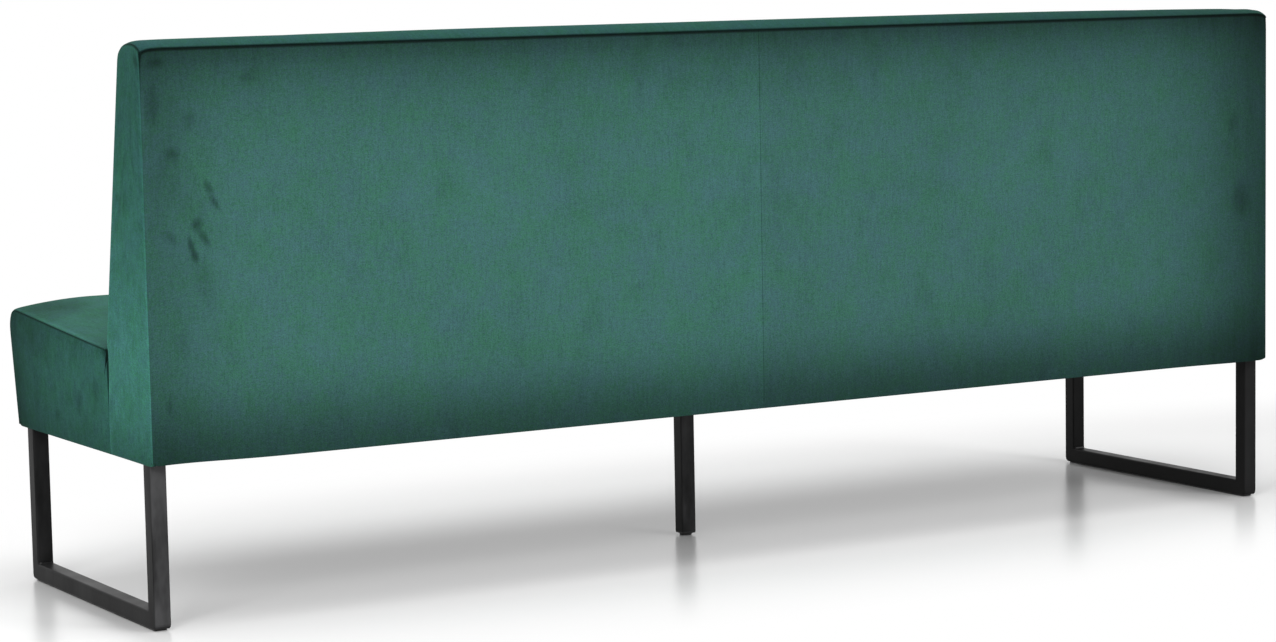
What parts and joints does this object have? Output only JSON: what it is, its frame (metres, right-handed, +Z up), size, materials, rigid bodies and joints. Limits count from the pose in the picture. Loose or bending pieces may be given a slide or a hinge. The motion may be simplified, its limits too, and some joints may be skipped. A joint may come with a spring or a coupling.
{
  "type": "upholstered bench",
  "caption": "Long upholstered bench with a fixed tall back, a sloping padded seat, square tube sled legs at its ends and a middle leg with a levelling glide.",
  "frame": {"origin": "centre of the bounding box on the floor plane, where the glides stand", "axes": "+Z up, +X along the length towards the end that is near in the picture, -Y is the side that a sitter faces, +Y is the rear panel"},
  "size_m": [2.4, 0.6814, 0.9949],
  "materials": {
    "velvet": "deep green short-pile velvet on wadding",
    "foam": "open-cell upholstery foam",
    "timber": "planed softwood",
    "plywood": "sanded plywood",
    "black_steel": "fine satin black powder coat",
    "black_plastic": "moulded black plastic",
    "zinc_steel": "zinc plated",
    "dust_cloth": "black non-woven cloth"
  },
  "bodies": {
    "bench": {"back_bottom_rail": "timber", "back_foam": "foam", "back_former_far": "plywood", "back_former_far_end": "plywood", "back_former_middle": "plywood", "back_former_near": "plywood", "back_former_near_end": "plywood", "back_front_board": "plywood", "back_front_cover_far": "velvet", "back_front_cover_near": "velvet", "back_rear_lining": "plywood", "back_rear_panel_far": "velvet", "back_rear_panel_near": "velvet", "back_seat_rail": "timber", "back_side_band_far": "velvet", "back_side_band_near": "velvet", "back_top_rail": "timber", "back_top_strip": "velvet", "coach_screw_far_inner": "zinc_steel", "coach_screw_far_outer": "zinc_steel", "coach_screw_near_inner": "zinc_steel", "coach_screw_near_outer": "zinc_steel", "dust_cover": "dust_cloth", "leg_middle_insert": "black_plastic", "leg_middle_plate": "black_steel", "leg_middle_tube": "black_steel", "leg_screw_far": "zinc_steel", "leg_screw_near": "zinc_steel", "seat_cover_far": "velvet", "seat_cover_near": "velvet", "seat_cross_rail_far": "timber", "seat_cross_rail_middle": "timber", "seat_cross_rail_near": "timber", "seat_deck": "plywood", "seat_end_panel_far": "velvet", "seat_end_panel_near": "velvet", "seat_end_rail_far": "timber", "seat_end_rail_near": "timber", "seat_foam": "foam", "seat_front_rail": "timber", "seat_leg_board": "timber", "seat_rear_rail": "timber", "sled_bar_far": "black_steel", "sled_bar_near": "black_steel", "sled_glide_strip_far": "black_plastic", "sled_glide_strip_near": "black_plastic", "sled_runner_far": "black_steel", "sled_runner_near": "black_steel", "sled_screw_far_front": "zinc_steel", "sled_screw_far_rear": "zinc_steel", "sled_screw_near_front": "zinc_steel", "sled_screw_near_rear": "zinc_steel", "sled_upright_front_far": "black_steel", "sled_upright_front_near": "black_steel", "sled_upright_rear_far": "black_steel", "sled_upright_rear_near": "black_steel"},
    "glide_pad": {"glide_pad": "black_plastic"},
    "glide_stud": {"glide_stud": "zinc_steel"}
  },
  "joints": [
    {"name": "glide_extend", "type": "slide", "parent": "bench", "child": "glide_pad", "axis": [0, 0, -1], "range_m": [0, 0.01]},
    {"name": "stud_turn", "type": "hinge", "parent": "glide_pad", "child": "glide_stud", "pos_m": [-0.02, 0.01666, 0.02], "axis": [0, 0, -1], "range_deg": [0, 2880]}
  ],
  "couplings": [
    {"joint": "stud_turn", "follows": "glide_extend", "rad_per_m": 5026.5}
  ]
}
